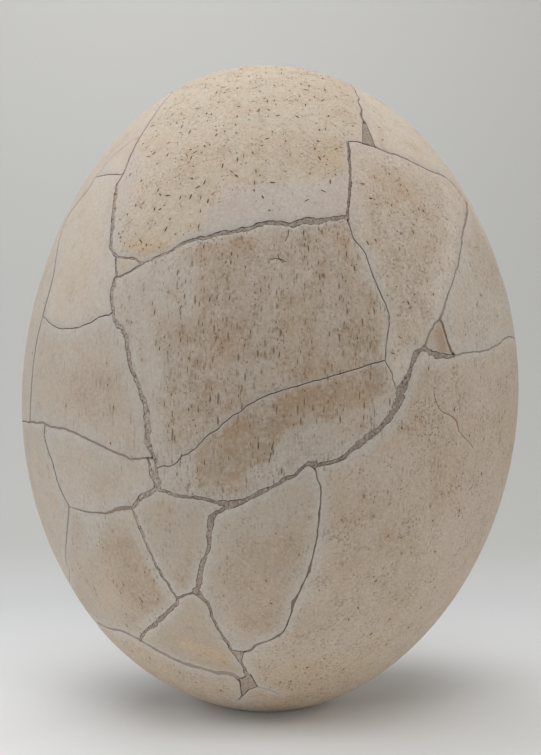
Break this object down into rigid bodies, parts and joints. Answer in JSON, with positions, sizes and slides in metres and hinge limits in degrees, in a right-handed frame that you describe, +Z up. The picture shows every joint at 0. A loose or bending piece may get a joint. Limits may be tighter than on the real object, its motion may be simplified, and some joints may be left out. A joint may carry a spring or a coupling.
{
  "type": "elephant bird egg",
  "caption": "Large pale elephant bird egg put together again from shards, with filled seams, standing on a small flat spot.",
  "frame": {"origin": "level with the flat spot that the egg stands on, under the middle of the egg's greatest width", "axes": "+Z up the egg's long axis, the blunter shard-covered front that the picture shows towards -Y, +X to the right of that front"},
  "size_m": [0.2296, 0.2293, 0.2974],
  "materials": {
    "aged_shell": "matte, weathered calcite eggshell with ochre and brown stains and fine dark pores",
    "menders_filler": "matte, gritty grey-brown filler"
  },
  "bodies": {
    "root": {"eggshell": "aged_shell", "seam_filler": "menders_filler"}
  },
  "joints": []
}
